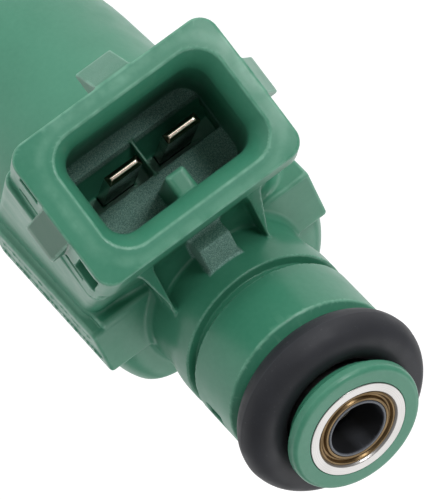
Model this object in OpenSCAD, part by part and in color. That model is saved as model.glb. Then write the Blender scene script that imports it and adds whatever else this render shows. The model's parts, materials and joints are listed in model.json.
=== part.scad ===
// Top-feed port fuel injector with a two-blade socket, as separate pieces.
// +Z runs along the injector's axis from the nozzle end to the fuel inlet. +X is the side the
// electrical socket leans out of. The origin is on the axis at the nozzle end.

/* [Overall] */
// Length from the nozzle cap's end face to the inlet tube's end face
injector_len = 75; // [74:0.5:78]
// Distance between the centres of the two O-rings
seal_spacing = 60.6; // [60:0.1:61]
// Distance from the inlet face to the upper O-ring's centre
seal_inset = 3.6; // [3.5:0.05:3.7]

/* [O-rings] */
// Section diameter of both O-rings, as stretched onto the steel
ring_section = 3.49; // [3.4:0.01:3.55]
// Radius of the steel that both O-rings sit on
ring_seat_r = 3.855; // [3.8:0.005:3.9]

/* [Moulded body] */
// Radius of the neck behind the upper O-ring
neck_r = 6.66; // [6.5:0.01:6.8]
// Radius of the neck's root at the barrel
neck_root_r = 6.34; // [6.2:0.02:6.5]
// Distance from the inlet face to the clip groove
groove_inset = 10.85; // [10.6:0.05:11]
// Width of the clip groove
groove_w = 1; // [0.8:0.1:1.2]
// Depth of the clip groove
groove_depth = 0.7; // [0.5:0.05:0.8]
// Radius of the barrel
barrel_r = 9; // [8.8:0.05:9.3]
// Distance from the inlet face to the front of the flat-sided block
block_inset = 17.5; // [17.3:0.1:17.8]
// Distance from the inlet face to where the barrel starts to taper towards the skirt
barrel_end_inset = 45; // [44.8:0.1:46]
// Length of the flat-sided block
block_len = 16; // [14:0.5:20]
// Distance from the axis to the relief across the front of the barrel
relief_x = 5.2; // [5:0.1:5.8]
// Half width of the flat-sided block
block_half_w = 9.2; // [9.1:0.05:9.4]
// Height of the block's top above the axis
block_top = 4.9; // [4.6:0.1:5.2]
// How far the side pad stands proud of the block
pad_proud = 0.9; // [0.6:0.1:1]
// Radius of the skirt below the barrel
skirt_r = 7; // [6.9:0.1:7.3]

/* [Socket] */
// Angle of the socket's axis above the plane across the injector
socket_tilt = 38.5; // [38:0.5:39]
// Distance from the inlet face to where the socket's axis meets the injector's
socket_inset = 29.71; // [29.6:0.01:29.8]
// Distance along the socket's axis from the injector's axis to the rim's face
socket_reach = 23.63; // [23.5:0.01:23.8]
// Width of the rim
rim_w = 17.1; // [17:0.1:17.4]
// Height of the rim
rim_h = 11.8; // [11.7:0.1:12]
// Thickness of the rim along the socket's axis
rim_t = 4.6; // [4.4:0.1:4.8]
// Sideways offset of the rim and shell from the blades' centre
rim_offset = 0.3; // [0.2:0.05:0.35]
// Height that the side latch lugs stand out of the rim
lug_proud = 1.3; // [1.2:0.05:1.4]
// Height that the rear latch lug stands out of the rim
rear_lug_proud = 1.95; // [1.8:0.05:2]
// Width of each latch lug
lug_w = 3.05; // [2.9:0.05:3.2]
// Depth of the socket's cavity
cavity_depth = 10.2; // [10:0.1:10.4]
// Width of the cavity below its lead-in
cavity_w = 11.8; // [11.7:0.05:12]
// Width of the cavity's mouth
mouth_w = 13.9; // [13.7:0.1:14.1]
// Height of the cavity's mouth
mouth_h = 9.2; // [9.1:0.1:9.4]

/* [Blades] */
// Distance between the centres of the two blades
blade_pitch = 5; // [5:0.05:5.05]
// Width of a blade
blade_w = 2.8; // [2.75:0.01:2.8]
// Thickness of a blade
blade_t = 0.8; // [0.75:0.01:0.8]
// Depth of the blade tips below the rim's face
blade_inset = 3; // [2.9:0.05:3.1]
// Offset of the blades from the socket's axis, towards the nozzle end
blade_offset = 0.6; // [0.5:0.05:0.65]

/* [Valve] */
// Lift of the needle between closed and open
needle_lift = 0.09; // [0.07:0.005:0.09]
// Radius of the valve ball
ball_r = 1.74; // [1.72:0.01:1.74]
// Outer radius of the armature
armature_r = 3.8; // [3.79:0.005:3.81]
// Wire diameter of the valve spring
spring_wire = 0.5; // [0.45:0.05:0.5]
// Mean radius of the valve spring
spring_r = 1.5; // [1.45:0.05:1.5]
// Number of turns of the valve spring
spring_turns = 7; // [6:1:8]
// Number of spray holes
spray_holes = 4; // [2:1:6]

/* [Hidden] */
$fn = 96;

// Colours
nylon = [0.28, 0.50, 0.40];
rubber = [0.16, 0.17, 0.19];
steel = [0.80, 0.80, 0.78];
magnet_steel = [0.62, 0.63, 0.64];
brass = [0.72, 0.55, 0.25];
copper = [0.62, 0.38, 0.22];
dark_plastic = [0.13, 0.13, 0.14];
alloy_grey = [0.75, 0.74, 0.70];
mesh_grey = [0.75, 0.72, 0.60];

// Gap left round a piece that is moulded or pressed in
fit_gap = 0.02;
// Gap left round the pressed-in sleeve
press_gap = 0.005;
// Gap left inside the stretched O-rings
ring_gap = 0.01;
// Overlap that makes unions and cuts clean
eps = 0.01;
// How far joined blocks run into each other, and cuts run past the surface
lap = 1;
// Sides of the small circles
corner_sides = 32;
ring_sides = 48;

// Stations along the axis
inlet_z = injector_len;
upper_seal_z = inlet_z - seal_inset;
lower_seal_z = upper_seal_z - seal_spacing;
ring_r = ring_section / 2;
ring_mean_r = ring_seat_r + ring_gap + ring_r;
neck_top_z = upper_seal_z - ring_r;
groove_top_z = inlet_z - groove_inset;
block_front_z = inlet_z - block_inset;
barrel_end_z = inlet_z - barrel_end_inset;
shoulder_h = 2.3;
tail_len = 9;
tail_z = barrel_end_z - tail_len;
barrel_setback = 0.6;
barrel_front_z = block_front_z - barrel_setback;
relief_len = 8.5;
block_bottom = 0.1;
pad_step = 0.45;
neck_root_z = inlet_z - 16;
neck_full_z = inlet_z - 13;
neck_chamfer = 0.35;
groove_chamfer = 0.15;
skirt_chamfer = 0.4;
spacer_h = 2.3;
spacer_step = 0.45;
spacer_top_z = lower_seal_z + ring_r + spacer_h;
skirt_bottom_z = spacer_top_z;
cap_top_z = lower_seal_z - ring_r;

// Magnetic circuit
pole_z = 36;
pole_gap = needle_lift + 0.01;
armature_top_z = pole_z - pole_gap;
armature_len = 8;
armature_bottom_z = armature_top_z - armature_len;
tube_bore_r = 2;
filter_bore_r = 2.9;
bore_mouth_r = 3.2;
bore_mouth_h = 0.5;
filter_bore_z = 61.5;

// Inlet filter
ring_recess = 0.12;
cage_r = 2.33;
cage_bore_r = 2.13;
cage_recess = 0.08;
cage_top_z = inlet_z - cage_recess;
cage_flange_t = 1;
cage_flange_z = cage_top_z - 3;
cage_foot_z = filter_bore_z + 1.2;
cage_foot_t = 0.8;
mesh_r = 1.72;
mesh_gap = 0.03;
filter_ring_len = 2;
inlet_ring_recess = 0.05;

// Valve body and coil housing
body_big_r = 4.7;
body_step_z = 16;
chamber_r = 3.87;
chamber_bottom_z = 27;
nonmagnetic_bottom_z = 34;
nonmagnetic_top_z = 38;
can_r = 8.1;
can_wall = 0.8;
can_bottom_z = 31.5;
can_floor_t = 2;
can_top_z = 46;
washer_t = 1.5;
washer_notch_x = 5.6;
washer_notch_w = 9;
bobbin_bore_r = body_big_r + 0.05;
bobbin_wall = 0.6;
bobbin_r = 7.2;
flange_t = 0.9;
bobbin_bottom_z = can_bottom_z + can_floor_t;
winding_r = 6.9;

// Needle, ball and seat
ball_z = 3.6;
needle_r = 1.7;
needle_bore_r = 1.3;
needle_top_z = 31;
weld_gap = 0.02;
needle_bottom_z = ball_z + sqrt(ball_r * ball_r - needle_bore_r * needle_bore_r) + weld_gap;
cross_hole_r = 0.6;
cross_hole_h = 3;
seat_r = 3.38;
seat_bottom_z = 1.7;
seat_top_z = 5.4;
seat_gap = 0.006;
seat_contact = (ball_r + seat_gap) * sqrt(0.5);
seat_hole_r = 0.6;
plate_t = 0.3;
spray_hole_r = 0.18;
spray_circle_r = 0.35;
spring_pocket_r = spring_r + spring_wire / 2 + 0.15;
spring_pocket_depth = 4;
spring_bottom_z = armature_top_z - spring_pocket_depth;
spring_top_z = 47;
sleeve_len = 9;
sleeve_bore_r = 1.1;
sleeve_slit = 0.5;

// Socket
shell_w = rim_w - 2.2;
shell_h = rim_h - 1.9;
shell_root = 5;
channel_w = 1.4;
collar_s = socket_reach - rim_t - channel_w;
collar_h = rim_h - 0.7;
cheek_y = block_half_w + 0.1;
shell_corner = 1.6;
rim_corner = 1.4;
rim_side_h = rim_h - 1.2;
rim_side_t = 6;
cavity_rear_e = -3.75;
cavity_front_e = 3.3;
cavity_corner = 1.5;
mouth_corner = 2.3;
mouth_y = -0.13;
mouth_land = 0.6;
lead_in = 2;
trough_rear_e = -2.6;
trough_front_e = 0.3;
trough_depth = 2.4;
trough_margin = 0.1;
web_t = 0.2;
web_y = -0.15;
key_w = 1.7;
key_y = -0.3;
key_e = 1.4;
key_inset = 3.6;
lug_crest = 3.8;
lug_root = 1;
lug_lip = 0.2;
rear_lug_y = -0.3;
right_lug_e = -0.3;
// Pockets in the rim's short sides, each [rear e, front e, near depth, far depth, sink]
pockets = [[-4.1, -2.15, 0.5, 1.6, 0.7], [2.67, 4.76, 0.9, 3.9, 0.7],
           [-3.9, -1.62, 4.15, 4.7, 0.55], [1.62, 3.7, 4.15, 4.7, 0.55]];

// Gussets, gate boss and neck slot
gusset_y = 0.35;
gusset_inset = 4.15;
gusset_t = 0.6;
gusset_front_z = inlet_z - 14.5;
gusset_root_x = 4;
gusset_top_x = 11;
gate_front_z = inlet_z - 13.9;
gate_root_x = 5.5;
gate_top_x = 8.9;
gate_w = 2.6;
gate_y = -0.1;
slot_w = 1.9;
slot_len = 1.3;
slot_z = inlet_z - 8.75;
slot_depth = 0.45;

// Terminals
terminal_bend_s = 8.4;
terminal_foot_z = can_top_z;
tip_chamfer = 0.25;
tip_corner = 0.5;

// A solid of revolution from a closed outline of [radius, z] points
module turned(points) {
    rotate_extrude() polygon(points);
}

// A tube between two heights
module tube(r_out, r_in, z_low, z_high) {
    difference() {
        translate([0, 0, z_low]) cylinder(r = r_out, h = z_high - z_low);
        translate([0, 0, z_low - eps]) cylinder(r = r_in, h = z_high - z_low + 2 * eps);
    }
}

// Points of an arc from angle a0 to a1 about a centre
function arc(centre, r, a0, a1, steps = 8) =
    [for (i = [0:steps]) centre + r * [cos(a0 + (a1 - a0) * i / steps), sin(a0 + (a1 - a0) * i / steps)]];

// An O-ring round the axis at height z
module o_ring(z) {
    translate([0, 0, z])
        rotate_extrude()
            translate([ring_mean_r, 0]) circle(r = ring_r, $fn = ring_sides);
}

// Places children in the socket's frame: X across the socket towards the inlet, Y across the
// injector, Z outward along the socket's axis from the injector's axis
module in_socket() {
    translate([0, 0, inlet_z - socket_inset])
        rotate([0, 90 - socket_tilt, 0])
            rotate([0, 0, 180]) mirror([0, 1, 0]) children();
}

// A rounded rectangle, h across the socket's X and w across its Y, centred on [x, y]
module rounded_rect(h, w, r, x = 0, y = 0) {
    translate([x, y]) {
        square([h - 2 * r, w], center = true);
        square([h, w - 2 * r], center = true);
        for (sx = [-1, 1], sy = [-1, 1])
            translate([sx * (h / 2 - r), sy * (w / 2 - r)]) circle(r = r, $fn = corner_sides);
    }
}

// A rounded block in the socket's frame between two distances along its axis
module socket_block(h, w, r, s_low, s_high, x = 0, y = 0) {
    translate([0, 0, s_low])
        linear_extrude(s_high - s_low) rounded_rect(h, w, r, x, y);
}

// One latch lug: a ramp that starts flush at the rim's face and ends in a square catch
module lug(proud) {
    translate([0, lug_w / 2, socket_reach])
        rotate([90, 0, 0])
            linear_extrude(lug_w)
                polygon([[-lug_root, -lug_lip], [0, -lug_lip], [proud, -lug_crest], [proud, -rim_t],
                         [-lug_root, -rim_t]]);
}

// The socket's side carried down to the block, on the pad's side only
module cheek() {
    along = [cos(socket_tilt), sin(socket_tilt)];
    across = [-sin(socket_tilt), cos(socket_tilt)];
    low_x = block_top - pad_step - lap;
    rear = -collar_h / 2 * across;
    front = collar_h / 2 * across;
    translate([0, cheek_y, inlet_z - socket_inset])
        rotate([90, 0, 0])
            linear_extrude(cheek_y)
                polygon([rear + (low_x - rear[0]) / along[0] * along,
                         front + (low_x - front[0]) / along[0] * along,
                         front + collar_s * along, rear + collar_s * along]);
}

module socket_outside() {
    rim_s = socket_reach - rim_t;
    socket_block(shell_h, shell_w, shell_corner, shell_root, rim_s + lap, 0, rim_offset);
    socket_block(collar_h, shell_w, shell_corner, shell_root, collar_s, 0, rim_offset);
    socket_block(rim_h, rim_w, rim_corner, rim_s, socket_reach, 0, rim_offset);
    socket_block(rim_side_h, rim_w, rim_corner, socket_reach - rim_side_t, rim_s + lap, 0, rim_offset);
    translate([0, rim_offset + rim_w / 2, 0]) rotate([0, 0, 90]) lug(lug_proud);
    translate([right_lug_e, rim_offset - rim_w / 2, 0]) rotate([0, 0, -90]) lug(lug_proud);
    translate([-rim_h / 2, rear_lug_y, 0]) rotate([0, 0, 180]) lug(rear_lug_proud);
}

module socket_cuts() {
    floor_s = socket_reach - cavity_depth;
    cavity_h = cavity_front_e - cavity_rear_e;
    cavity_x = (cavity_front_e + cavity_rear_e) / 2;
    socket_block(cavity_h, cavity_w, cavity_corner, floor_s, socket_reach + lap, cavity_x, 0);
    // Lead-in at the mouth
    slice = 0.05;
    lead_s = socket_reach - lead_in;
    mouth_s = socket_reach - mouth_land;
    hull() {
        socket_block(mouth_h, mouth_w, mouth_corner, mouth_s, socket_reach + slice, 0, mouth_y);
        socket_block(cavity_h, cavity_w, cavity_corner, lead_s, lead_s + slice, cavity_x, 0);
    }
    // Trough round each blade, parted by a thin web
    trough_h = trough_front_e - trough_rear_e;
    trough_end = cavity_w / 2 - trough_margin;
    for (side = [-1, 1]) {
        web_side = web_y + side * web_t / 2;
        trough_w = trough_end - side * web_side;
        translate([trough_rear_e, web_side - (side < 0 ? trough_w : 0), floor_s - trough_depth])
            cube([trough_h, trough_w, trough_depth + eps]);
    }
    for (side = [-1, 1], p = pockets)
        translate([p[0], rim_offset + side * rim_w / 2 - p[4], socket_reach - p[3]])
            cube([p[1] - p[0], 2 * p[4], p[3] - p[2]]);
}

// Keying rib on the cavity's wall on the inlet side
module key_rib() {
    key_s = socket_reach - cavity_depth;
    translate([key_e, key_y - key_w / 2, key_s - eps])
        cube([cavity_front_e - key_e + lap, key_w, cavity_depth - key_inset]);
}

// Barrel with the skirt behind it, and a relief across its front on the side away from the socket
module barrel() {
    difference() {
        turned(concat(
            [[0, skirt_bottom_z], [skirt_r - skirt_chamfer, skirt_bottom_z],
             [skirt_r, skirt_bottom_z + skirt_chamfer], [skirt_r, tail_z], [barrel_r, barrel_end_z]],
            arc([barrel_r - shoulder_h, barrel_front_z - shoulder_h], shoulder_h, 0, 90),
            [[0, barrel_front_z]]));
        translate([-relief_x - barrel_r, -barrel_r, barrel_front_z - relief_len])
            cube([barrel_r, 2 * barrel_r, relief_len + lap]);
    }
}

module block() {
    back_z = block_front_z - block_len;
    translate([block_bottom, -block_half_w, back_z])
        cube([block_top - block_bottom, 2 * block_half_w, block_front_z - back_z]);
    translate([block_bottom, 0, back_z])
        cube([block_top - pad_step - block_bottom, block_half_w + pad_proud, block_front_z - back_z]);
}

module neck() {
    groove_r = neck_r - groove_depth;
    groove_low_z = groove_top_z - groove_w;
    root_z = barrel_front_z - relief_len - lap;
    turned([[0, root_z], [neck_root_r, root_z], [neck_root_r, neck_root_z], [neck_r, neck_full_z],
            [neck_r, groove_low_z - groove_chamfer],
            [neck_r - groove_chamfer, groove_low_z], [groove_r, groove_low_z], [groove_r, groove_top_z],
            [neck_r - groove_chamfer, groove_top_z], [neck_r, groove_top_z + groove_chamfer],
            [neck_r, neck_top_z - neck_chamfer], [neck_r - neck_chamfer, neck_top_z], [0, neck_top_z]]);
}

// Webs between the neck and the underside of the socket
module gussets() {
    for (side = [-1, 1])
        translate([0, gusset_y + side * (gusset_inset + gusset_t / 2) + gusset_t / 2, 0])
            rotate([90, 0, 0])
                linear_extrude(gusset_t)
                    polygon([[gusset_root_x, block_front_z - 2 * lap], [gusset_root_x, gusset_front_z],
                             [gusset_top_x, gusset_front_z], [gusset_top_x, block_front_z - 2 * lap]]);
}

module gate_boss() {
    translate([gate_root_x, gate_y - gate_w / 2, block_front_z - lap])
        cube([gate_top_x - gate_root_x, gate_w, gate_front_z - block_front_z + lap]);
}

// Outline of a bent terminal strip in the XZ plane
module terminal_profile(grow = 0) {
    dir = [cos(socket_tilt), sin(socket_tilt)];
    across = [-sin(socket_tilt), cos(socket_tilt)];
    root = [0, inlet_z - socket_inset] - blade_offset * across;
    half = blade_t / 2 + grow;
    tip = root + (socket_reach - blade_inset + grow) * dir;
    bend = root + terminal_bend_s * dir;
    foot_x = bend[0];
    // Where the lower edge of the blade meets the foot's outer side
    s_low = (foot_x + half - root[0] + half * across[0]) / dir[0];
    lower = root - half * across + s_low * dir;
    s_high = (foot_x - half - root[0] - half * across[0]) / dir[0];
    inner = root + half * across + s_high * dir;
    chamfer = grow == 0 ? tip_chamfer : 0;
    polygon([tip + (half - chamfer) * across, tip - (half - chamfer) * across,
             tip - half * across - chamfer * dir, lower, [foot_x + half, terminal_foot_z - grow],
             [foot_x - half, terminal_foot_z - grow], inner, tip + half * across - chamfer * dir]);
}

// A terminal centred on y, bent from one strip, with its tip's corners cut off
module terminal(y, grow = 0) {
    w = blade_w + 2 * grow;
    difference() {
        translate([0, y + w / 2, 0]) rotate([90, 0, 0]) linear_extrude(w) terminal_profile(grow);
        if (grow == 0)
            in_socket()
                for (side = [-1, 1])
                    translate([-blade_offset, y + side * w / 2, socket_reach - blade_inset])
                        rotate([45, 0, 0]) cube([2 * blade_t, tip_corner, tip_corner], center = true);
    }
}

module overmould() {
    color(nylon)
        difference() {
            union() {
                neck();
                barrel();
                block();
                gussets();
                gate_boss();
                cheek();
                in_socket() socket_outside();
            }
            in_socket()
                difference() {
                    socket_cuts();
                    key_rib();
                }
            // Slot in the neck's front band
            translate([0, neck_r, slot_z])
                cube([slot_len, 2 * slot_depth, slot_w], center = true);
            // Cavities for the metal pieces
            translate([0, 0, skirt_bottom_z - lap]) cylinder(r = ring_seat_r + fit_gap, h = injector_len);
            translate([0, 0, body_step_z - fit_gap])
                cylinder(r = body_big_r + fit_gap, h = nonmagnetic_top_z - body_step_z + 2 * fit_gap);
            translate([0, 0, can_bottom_z - fit_gap])
                cylinder(r = can_r + fit_gap, h = can_top_z + washer_t - can_bottom_z + 2 * fit_gap);
            for (side = [-1, 1]) terminal(side * blade_pitch / 2, fit_gap);
        }
}

module inlet_ring() {
    low_z = upper_seal_z + ring_r;
    top_z = inlet_z - inlet_ring_recess;
    r_out = 5.15;
    root_r = 4.5;
    root_h = 0.6;
    flare_h = 0.3;
    top_round = 0.65;
    color(nylon)
        turned(concat(
            [[ring_seat_r + fit_gap, low_z], [root_r, low_z], [root_r, low_z + root_h],
             [r_out, low_z + root_h + flare_h]],
            arc([r_out - top_round, top_z - top_round], top_round, 0, 90),
            [[ring_seat_r + fit_gap, top_z]]));
}

module upper_o_ring() {
    color(rubber) o_ring(upper_seal_z);
}

module inlet_tube() {
    step_h = 0.8;
    color(steel)
        turned([[tube_bore_r, pole_z], [ring_seat_r, pole_z], [ring_seat_r, inlet_z],
                [bore_mouth_r, inlet_z], [filter_bore_r, inlet_z - bore_mouth_h],
                [filter_bore_r, filter_bore_z], [tube_bore_r, filter_bore_z - step_h]]);
}

// Brass ring that holds the fuel filter in the inlet bore
module filter_ring() {
    top_z = inlet_z - ring_recess;
    low_z = top_z - filter_ring_len - ring_recess;
    inner_r = cage_r + fit_gap;
    outer_r = filter_bore_r - fit_gap;
    mid_r = (inner_r + outer_r) / 2;
    color(brass)
        turned(concat(
            [[inner_r, low_z], [outer_r, low_z]],
            arc([mid_r, top_z - outer_r + mid_r], outer_r - mid_r, 0, 180, 10)));
}

// Plastic frame of the filter: a collar, four ribs and a closed foot
module filter_cage() {
    flange_r = 2.8;
    rib_w = 0.6;
    rib_h = cage_flange_z - cage_foot_z;
    color(dark_plastic)
        union() {
            tube(cage_r, cage_bore_r, cage_flange_z, cage_top_z);
            tube(flange_r, cage_bore_r, cage_flange_z - cage_flange_t, cage_flange_z);
            translate([0, 0, cage_foot_z]) cylinder(r = cage_r, h = cage_foot_t);
            for (a = [45:90:315])
                rotate([0, 0, a])
                    translate([mesh_r + mesh_gap, -rib_w / 2, cage_foot_z])
                        cube([cage_r - mesh_r - mesh_gap, rib_w, rib_h]);
        }
}

module filter_mesh() {
    thickness = 0.12;
    color(mesh_grey)
        tube(mesh_r, mesh_r - thickness, cage_foot_z + cage_foot_t, cage_flange_z);
}

// Slit sleeve that sets the spring's load
module adjusting_sleeve() {
    color(brass)
        difference() {
            tube(tube_bore_r - press_gap, sleeve_bore_r, spring_top_z, spring_top_z + sleeve_len);
            translate([0, -sleeve_slit / 2, spring_top_z - eps])
                cube([tube_bore_r + lap, sleeve_slit, sleeve_len + 2 * eps]);
        }
}

// Coil spring swept as a tube along a helix
module valve_spring() {
    height = spring_top_z - spring_bottom_z - spring_wire;
    turn_steps = 20;
    turn_step = 360 / turn_steps;
    steps = turn_steps * spring_turns;
    sides = 8;
    rise = height / steps;
    low_z = spring_bottom_z + spring_wire / 2;
    function spine(i) = spring_r * outward(i) + [0, 0, low_z + rise * i];
    function outward(i) = [cos(turn_step * i), sin(turn_step * i), 0];
    function ring_point(i, j) = spine(i)
        + spring_wire / 2 * (cos(360 * j / sides) * outward(i) + [0, 0, sin(360 * j / sides)]);
    points = [for (i = [0:steps], j = [0:sides - 1]) ring_point(i, j)];
    function id(i, j) = i * sides + j % sides;
    sides_faces = [for (i = [0:steps - 1], j = [0:sides - 1])
        [id(i, j), id(i, j + 1), id(i + 1, j + 1), id(i + 1, j)]];
    caps = [[for (j = [sides - 1:-1:0]) j], [for (j = [0:sides - 1]) steps * sides + j]];
    color(steel) polyhedron(points, concat(sides_faces, caps));
}

module armature() {
    color(magnet_steel)
        difference() {
            translate([0, 0, armature_bottom_z]) cylinder(r = armature_r, h = armature_len);
            translate([0, 0, spring_bottom_z]) cylinder(r = spring_pocket_r, h = spring_pocket_depth + lap);
            translate([0, 0, armature_bottom_z - lap]) cylinder(r = needle_r, h = armature_len);
        }
}

module needle_tube() {
    color(steel)
        difference() {
            tube(needle_r, needle_bore_r, needle_bottom_z, needle_top_z);
            // Fuel leaves the tube through cross holes above the seat
            for (a = [0, 90])
                rotate([0, 0, a])
                    translate([0, 0, needle_bottom_z + cross_hole_h])
                        rotate([90, 0, 0]) cylinder(r = cross_hole_r, h = 3 * needle_r, center = true);
        }
}

module valve_ball() {
    color(steel) translate([0, 0, ball_z]) sphere(r = ball_r);
}

// Ring that keeps the magnetic field from bypassing the armature's gap
module nonmagnetic_ring() {
    color(alloy_grey) tube(body_big_r, chamber_r, nonmagnetic_bottom_z, nonmagnetic_top_z);
}

module valve_body() {
    nose_h = 0.4;
    bore_r = 2.6;
    seat_clearance = 0.5;
    end_z = seat_bottom_z - plate_t - nose_h;
    bore_bottom_z = seat_top_z + seat_clearance;
    color(steel)
        turned([[seat_r + fit_gap, end_z], [ring_seat_r, end_z], [ring_seat_r, body_step_z],
                [body_big_r, body_step_z], [body_big_r, nonmagnetic_bottom_z],
                [chamber_r, nonmagnetic_bottom_z], [chamber_r, chamber_bottom_z],
                [bore_r, chamber_bottom_z], [bore_r, bore_bottom_z], [seat_r + fit_gap, bore_bottom_z]]);
}

// Conical seat under the ball, with flats that let fuel past
module valve_seat() {
    guide_r = ball_r + 0.05;
    cone_low_z = ball_z - 2 * seat_contact + seat_hole_r;
    cone_high_z = cone_low_z + guide_r - seat_hole_r;
    flat_depth = 0.5;
    flat_w = 0.7;
    flat_rise = 0.1;
    color(magnet_steel)
        difference() {
            turned([[seat_hole_r, seat_bottom_z], [seat_r, seat_bottom_z], [seat_r, seat_top_z],
                    [guide_r, seat_top_z], [guide_r, cone_high_z], [seat_hole_r, cone_low_z]]);
            for (a = [0:60:300])
                rotate([0, 0, a])
                    translate([0, -flat_w / 2, cone_high_z + flat_rise])
                        cube([guide_r + flat_depth, flat_w, seat_top_z]);
        }
}

module orifice_plate() {
    color(steel)
        difference() {
            translate([0, 0, seat_bottom_z - plate_t]) cylinder(r = seat_r, h = plate_t);
            for (i = [0:spray_holes - 1])
                rotate([0, 0, 45 + 360 * i / spray_holes])
                    translate([spray_circle_r, 0, seat_bottom_z - plate_t - eps])
                        cylinder(r = spray_hole_r, h = plate_t + 2 * eps);
        }
}

module coil_bobbin() {
    core_r = bobbin_bore_r + bobbin_wall;
    color(dark_plastic)
        turned([[bobbin_bore_r, bobbin_bottom_z], [bobbin_r, bobbin_bottom_z],
                [bobbin_r, bobbin_bottom_z + flange_t], [core_r, bobbin_bottom_z + flange_t],
                [core_r, can_top_z - flange_t], [bobbin_r, can_top_z - flange_t],
                [bobbin_r, can_top_z], [bobbin_bore_r, can_top_z]]);
}

module coil_winding() {
    core_r = bobbin_bore_r + bobbin_wall;
    color(copper)
        tube(winding_r, core_r + eps, bobbin_bottom_z + flange_t + eps, can_top_z - flange_t - eps);
}

module yoke_can() {
    color(magnet_steel)
        turned([[body_big_r + fit_gap, can_bottom_z], [can_r, can_bottom_z], [can_r, can_top_z],
                [can_r - can_wall, can_top_z], [can_r - can_wall, bobbin_bottom_z],
                [body_big_r + fit_gap, bobbin_bottom_z]]);
}

module yoke_washer() {
    color(magnet_steel)
        difference() {
            tube(can_r, ring_seat_r + fit_gap, can_top_z + eps, can_top_z + washer_t);
            translate([washer_notch_x, -washer_notch_w / 2, can_top_z - lap])
                cube([can_r, washer_notch_w, washer_t + 2 * lap]);
        }
}

module terminal_left() {
    color(copper) terminal(blade_pitch / 2);
}

module terminal_right() {
    color(copper) terminal(-blade_pitch / 2);
}

module lower_o_ring() {
    color(rubber) o_ring(lower_seal_z);
}

// Backing ring above the lower O-ring
module spacer_ring() {
    color(dark_plastic)
        tube(skirt_r - spacer_step, ring_seat_r + fit_gap, lower_seal_z + ring_r, spacer_top_z);
}

// Cap that shields the nozzle and keeps the lower O-ring on
module nozzle_cap() {
    cap_r = 4.9;
    lip_r = 5.6;
    lip_z = cap_top_z - 1;
    lip_chamfer = 0.1;
    spray_r = 2.6;
    spray_flare = 0.4;
    floor_z = 1;
    color(dark_plastic)
        turned([[spray_r, 0], [cap_r, 0], [cap_r, lip_z], [lip_r, lip_z + lip_chamfer],
                [lip_r, cap_top_z], [ring_seat_r + fit_gap, cap_top_z], [ring_seat_r + fit_gap, floor_z],
                [spray_r - spray_flare, floor_z]]);
}

overmould();
inlet_ring();
upper_o_ring();
inlet_tube();
filter_ring();
filter_cage();
filter_mesh();
adjusting_sleeve();
valve_spring();
armature();
needle_tube();
valve_ball();
nonmagnetic_ring();
valve_body();
valve_seat();
orifice_plate();
coil_bobbin();
coil_winding();
yoke_can();
yoke_washer();
terminal_left();
terminal_right();
lower_o_ring();
spacer_ring();
nozzle_cap();
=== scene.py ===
import json
import math

import bpy
import numpy as np
from mathutils import Matrix, Vector


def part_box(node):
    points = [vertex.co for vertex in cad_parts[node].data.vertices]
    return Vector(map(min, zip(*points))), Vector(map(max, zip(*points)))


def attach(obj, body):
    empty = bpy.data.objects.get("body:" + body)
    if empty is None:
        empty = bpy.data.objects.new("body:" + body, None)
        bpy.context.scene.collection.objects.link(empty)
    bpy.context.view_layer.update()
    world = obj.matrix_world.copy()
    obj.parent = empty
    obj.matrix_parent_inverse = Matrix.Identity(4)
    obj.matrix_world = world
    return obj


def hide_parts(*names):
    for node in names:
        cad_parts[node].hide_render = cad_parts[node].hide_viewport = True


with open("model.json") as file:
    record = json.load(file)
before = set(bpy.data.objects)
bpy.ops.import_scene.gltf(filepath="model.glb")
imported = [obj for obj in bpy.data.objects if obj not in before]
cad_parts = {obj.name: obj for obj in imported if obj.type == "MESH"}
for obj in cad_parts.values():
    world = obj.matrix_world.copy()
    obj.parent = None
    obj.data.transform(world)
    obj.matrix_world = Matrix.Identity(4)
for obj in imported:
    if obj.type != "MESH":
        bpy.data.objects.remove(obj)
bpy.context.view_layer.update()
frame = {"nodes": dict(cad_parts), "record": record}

MM = 0.001


def heights(node):
    """A node's lowest and highest z, in mm."""
    return [corner.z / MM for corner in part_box(node)]


# ---------------------------------------------------------------- sizes, in mm
INLET_Z = heights("inlet_tube")[1]
NECK_TOP = heights("upper_o_ring")[0]
SKIRT_BOTTOM = heights("overmould")[0]
CAGE_LOW, CAGE_TOP = heights("filter_cage")
TERMINAL_FOOT = heights("terminal_left")[0]
RING_R = (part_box("upper_o_ring")[1].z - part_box("upper_o_ring")[0].z) / 2 / MM
RING_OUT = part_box("upper_o_ring")[1].y / MM
SEAT_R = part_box("inlet_tube")[1].x / MM
CAP_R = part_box("nozzle_cap")[1].x / MM
FIT = 0.02                          # clearance between a moulding and the metal in it

# Neck, with its clip groove and the slot in its front band
NECK_R = 6.66
NECK_ROOT_R = 6.34
GROOVE = (63.15, 64.15)
GROOVE_R = 5.93
SWELL_Z = 59                        # the neck widens from its root's radius here
SWELL_RUN = 3
SLOT = (65.3, 67.2)
SLOT_HALF = 0.65
SLOT_DEPTH = 0.45

# Barrel, and its radius at heights along the axis from the skirt to the front
BARREL_FRONT = 56.9
TAIL_Z = 21.0
SKIRT_R = 7.0
BARREL_Z = (TAIL_Z, 24, 27, 28.5, 30, 31.5, BARREL_FRONT)
BARREL_R = (SKIRT_R, 7.55, 8.11, 8.36, 8.53, 8.62, 9.45)
RELIEF_X = -5.2
RELIEF_Z = 49.4
PARTING_X = 0.1

# Flat-sided block with the pad on its side, gussets and gate boss in front of it
BLOCK_FRONT = 57.5
BLOCK_BACK = 41.5
BLOCK_TOP = 4.9
BLOCK_HALF = 9.2
PAD_HALF = 10.1
INSIDE_PAD = 8                      # a y well inside the pad, where its flash may start
GUSSET_Y = 0.35
GUSSET_FACES = (4.15, 4.35)         # distances of a gusset's two faces from GUSSET_Y
GUSSET_TOP = INLET_Z - 14.5
BOSS_TOP = INLET_Z - 13.9

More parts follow.
